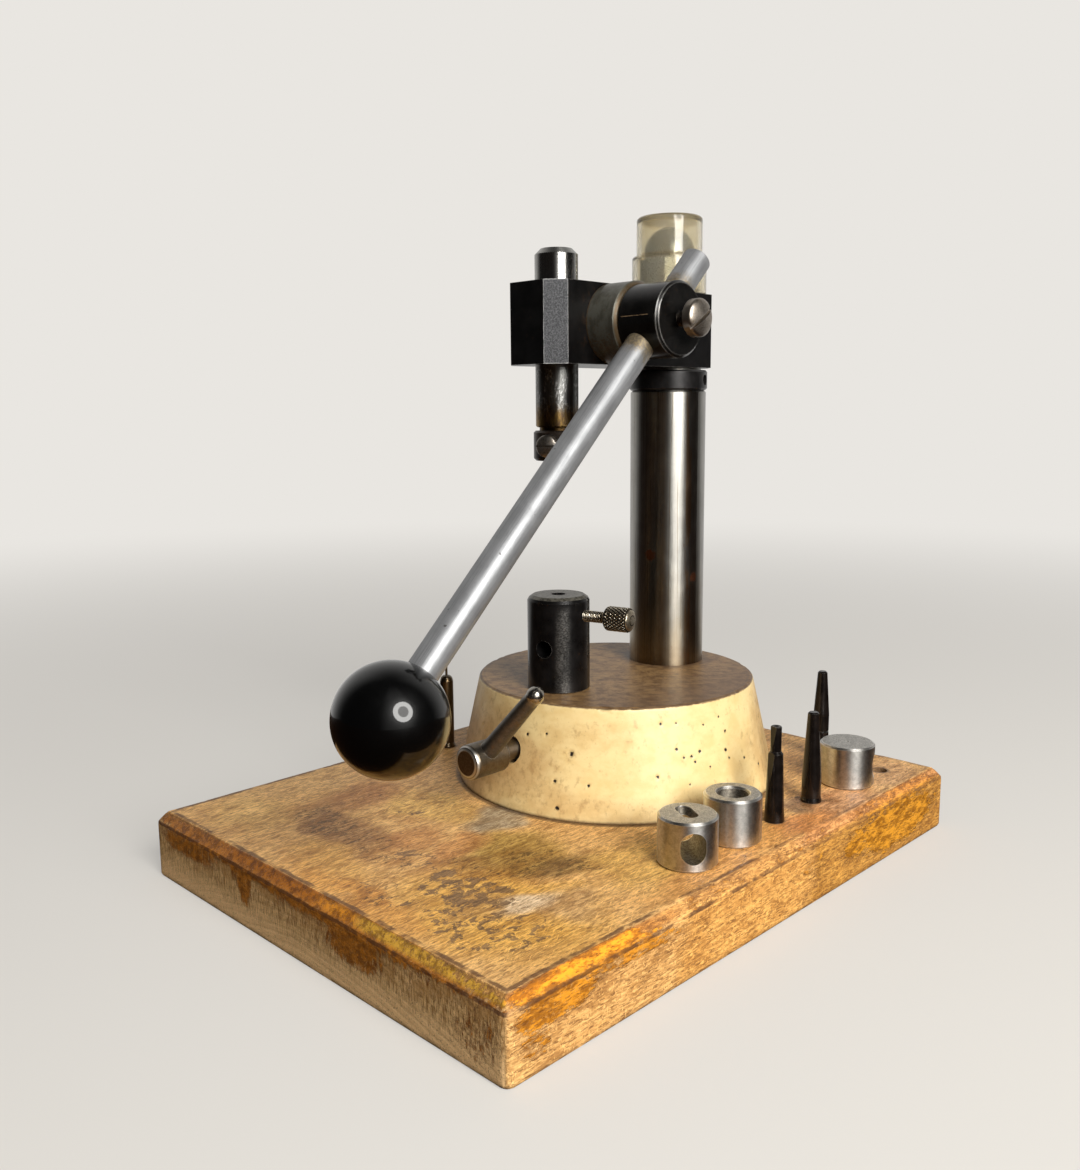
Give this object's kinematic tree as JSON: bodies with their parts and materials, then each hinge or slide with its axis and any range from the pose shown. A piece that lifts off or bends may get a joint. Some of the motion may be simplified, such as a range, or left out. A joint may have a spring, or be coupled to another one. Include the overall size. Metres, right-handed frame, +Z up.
{
  "type": "rivet press",
  "caption": "Bench rivet press: rack-and-pinion ram on a swivelling head over an anvil, on a round column, conical pedestal and wooden board that stores punches and dies.",
  "frame": {"origin": "middle of the board's underside, the face the press stands on", "axes": "+Z up; +Y from the board's front edge to its back, where the column stands; +X to the operator's right, the side with the lever"},
  "size_m": [0.215, 0.283, 0.2798],
  "materials": {
    "varnished_wood": "worn varnish",
    "cream_paint": "aged gloss paint, machined rusty top",
    "polished_steel": "ground and polished, light rust",
    "satin_steel": "satin",
    "black_oxide": "oil-blackened, worn at the edges",
    "machined_steel": "turned, light wear",
    "dull_steel": "dull, brown tarnish",
    "nickel_screw": "dull nickel",
    "blackened_fastener": "blackened",
    "brass": "plain",
    "black_phenolic": "polished",
    "yellowed_cap": "translucent, yellowed"
  },
  "bodies": {
    "stand": {"base_board": "varnished_wood", "pedestal": "cream_paint", "pedestal_screws": "blackened_fastener", "pedestal_washers": "nickel_screw", "column": "polished_steel", "column_bolt": "blackened_fastener", "column_washer": "nickel_screw", "support_collar": "black_oxide", "collar_set_screw": "blackened_fastener", "thrust_washer": "machined_steel", "top_washer": "machined_steel", "dome_nut": "machined_steel"},
    "cap": {"column_cap": "yellowed_cap"},
    "head": {"head_block": "black_oxide", "bearing_sleeve": "dull_steel", "left_bush": "brass", "drag_plug": "brass", "drag_screw": "blackened_fastener"},
    "ram": {"ram": "polished_steel", "punch_collar": "dull_steel"},
    "punch_screw": {"punch_clamp_screw": "nickel_screw"},
    "pinion": {"pinion_shaft": "machined_steel", "lever_hub": "black_oxide", "hub_pin": "machined_steel", "end_washer": "nickel_screw", "end_screw": "blackened_fastener"},
    "lock_screw": {"lever_lock_screw": "nickel_screw"},
    "lever": {"lever_rod": "satin_steel", "ball_knob": "black_phenolic", "knob_insert": "brass"},
    "anvil_stem": {"anvil_stem": "machined_steel"},
    "anvil": {"anvil_holder": "black_oxide"},
    "thumb_screw": {"thumb_screw": "machined_steel"},
    "clamp_pad": {"clamp_pad": "brass"},
    "clamp": {"clamp_spindle": "dull_steel", "clamp_handle": "dull_steel"},
    "die_cross_hole": {"die_cross_hole": "machined_steel"},
    "die_open_bore": {"die_open_bore": "machined_steel"},
    "die_small_hole": {"die_small_hole": "machined_steel"},
    "punch_hollow": {"punch_hollow": "black_oxide"},
    "punch_taper": {"punch_taper": "black_oxide"},
    "punch_long_taper": {"punch_long_taper": "black_oxide"},
    "punch_needle": {"punch_needle": "black_oxide"}
  },
  "joints": [
    {"name": "cap_pull", "type": "slide", "parent": "stand", "child": "cap", "axis": [0, 0, 1], "range_m": [0, 0.04]},
    {"name": "head_swivel", "type": "hinge", "parent": "stand", "child": "head", "pos_m": [-0.004, 0.0735, 0.2285], "axis": [0, 0, 1], "range_deg": [-90, 90]},
    {"name": "lever_turn", "type": "hinge", "parent": "head", "child": "pinion", "pos_m": [0, 0.015, 0.2285], "axis": [1, 0, 0], "range_deg": [-105, 15]},
    {"name": "ram_slide", "type": "slide", "parent": "head", "child": "ram", "axis": [0, 0, 1], "range_m": [-0.003, 0.017]},
    {"name": "punch_screw_turn", "type": "hinge", "parent": "ram", "child": "punch_screw", "pos_m": [-0.004, -0.0015, 0.17875], "axis": [0.3746, -0.9272, 0], "range_deg": [0, 720]},
    {"name": "lock_screw_turn", "type": "hinge", "parent": "pinion", "child": "lock_screw", "pos_m": [0.05, 0.015, 0.2285], "axis": [1, 0, 0], "range_deg": [0, 720]},
    {"name": "lever_reach", "type": "slide", "parent": "pinion", "child": "lever", "axis": [0, -0.7133, -0.7009], "range_m": [-0.04, 0.01]},
    {"name": "anvil_lift", "type": "slide", "parent": "stand", "child": "anvil_stem", "axis": [0, 0, 1], "range_m": [0, 0.04]},
    {"name": "anvil_turn", "type": "hinge", "parent": "anvil_stem", "child": "anvil", "pos_m": [-0.004, -0.0015, 0.09], "axis": [0, 0, 1], "continuous": true},
    {"name": "thumb_screw_turn", "type": "hinge", "parent": "anvil", "child": "thumb_screw", "pos_m": [-0.004, -0.0015, 0.1066], "axis": [0.9744, 0.225, 0], "range_deg": [0, 720]},
    {"name": "clamp_travel", "type": "slide", "parent": "stand", "child": "clamp_pad", "axis": [0, -1, 0], "range_m": [0, 0.000624]},
    {"name": "clamp_turn", "type": "hinge", "parent": "clamp_pad", "child": "clamp", "pos_m": [-0.004, -0.04, 0.0522], "axis": [0, -1, 0], "range_deg": [0, 150]},
    {"name": "die_cross_hole_lift", "type": "slide", "parent": "stand", "child": "die_cross_hole", "axis": [0, 0, 1], "range_m": [0, 0.06]},
    {"name": "die_open_bore_lift", "type": "slide", "parent": "stand", "child": "die_open_bore", "axis": [0, 0, 1], "range_m": [0, 0.06]},
    {"name": "die_small_hole_lift", "type": "slide", "parent": "stand", "child": "die_small_hole", "axis": [0, 0, 1], "range_m": [0, 0.06]},
    {"name": "punch_hollow_lift", "type": "slide", "parent": "stand", "child": "punch_hollow", "axis": [0, 0, 1], "range_m": [0, 0.05]},
    {"name": "punch_taper_lift", "type": "slide", "parent": "stand", "child": "punch_taper", "axis": [0, 0, 1], "range_m": [0, 0.05]},
    {"name": "punch_long_taper_lift", "type": "slide", "parent": "stand", "child": "punch_long_taper", "axis": [0, 0, 1], "range_m": [0, 0.05]},
    {"name": "punch_needle_lift", "type": "slide", "parent": "stand", "child": "punch_needle", "axis": [0, 0, 1], "range_m": [0, 0.05]}
  ],
  "couplings": [
    {"joint": "ram_slide", "follows": "lever_turn", "m_per_rad": -0.0085},
    {"joint": "clamp_turn", "follows": "clamp_travel", "rad_per_m": 4188.8}
  ]
}
